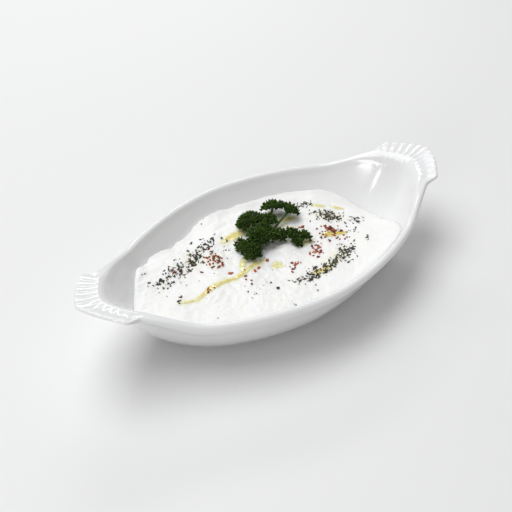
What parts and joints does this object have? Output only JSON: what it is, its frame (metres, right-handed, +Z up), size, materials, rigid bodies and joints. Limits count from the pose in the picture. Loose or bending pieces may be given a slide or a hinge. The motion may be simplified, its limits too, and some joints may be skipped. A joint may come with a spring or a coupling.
{
  "type": "bowl of raita",
  "caption": "White porcelain oval dish with scallop-shell ears, filled with raita dressed with herb and chilli flakes and a sprig of curly parsley.",
  "frame": {"origin": "on the table under the middle of the dish", "axes": "+X along the dish from ear to ear, +Y across it, +Z up"},
  "size_m": [0.25, 0.1236, 0.054],
  "materials": {
    "porcelain": "gloss white glaze",
    "raita": "moist, thick white yogurt",
    "parsley": "matt dark green leaf"
  },
  "bodies": {
    "root": {"dish": "porcelain", "raita": "raita", "parsley": "parsley"}
  },
  "joints": []
}
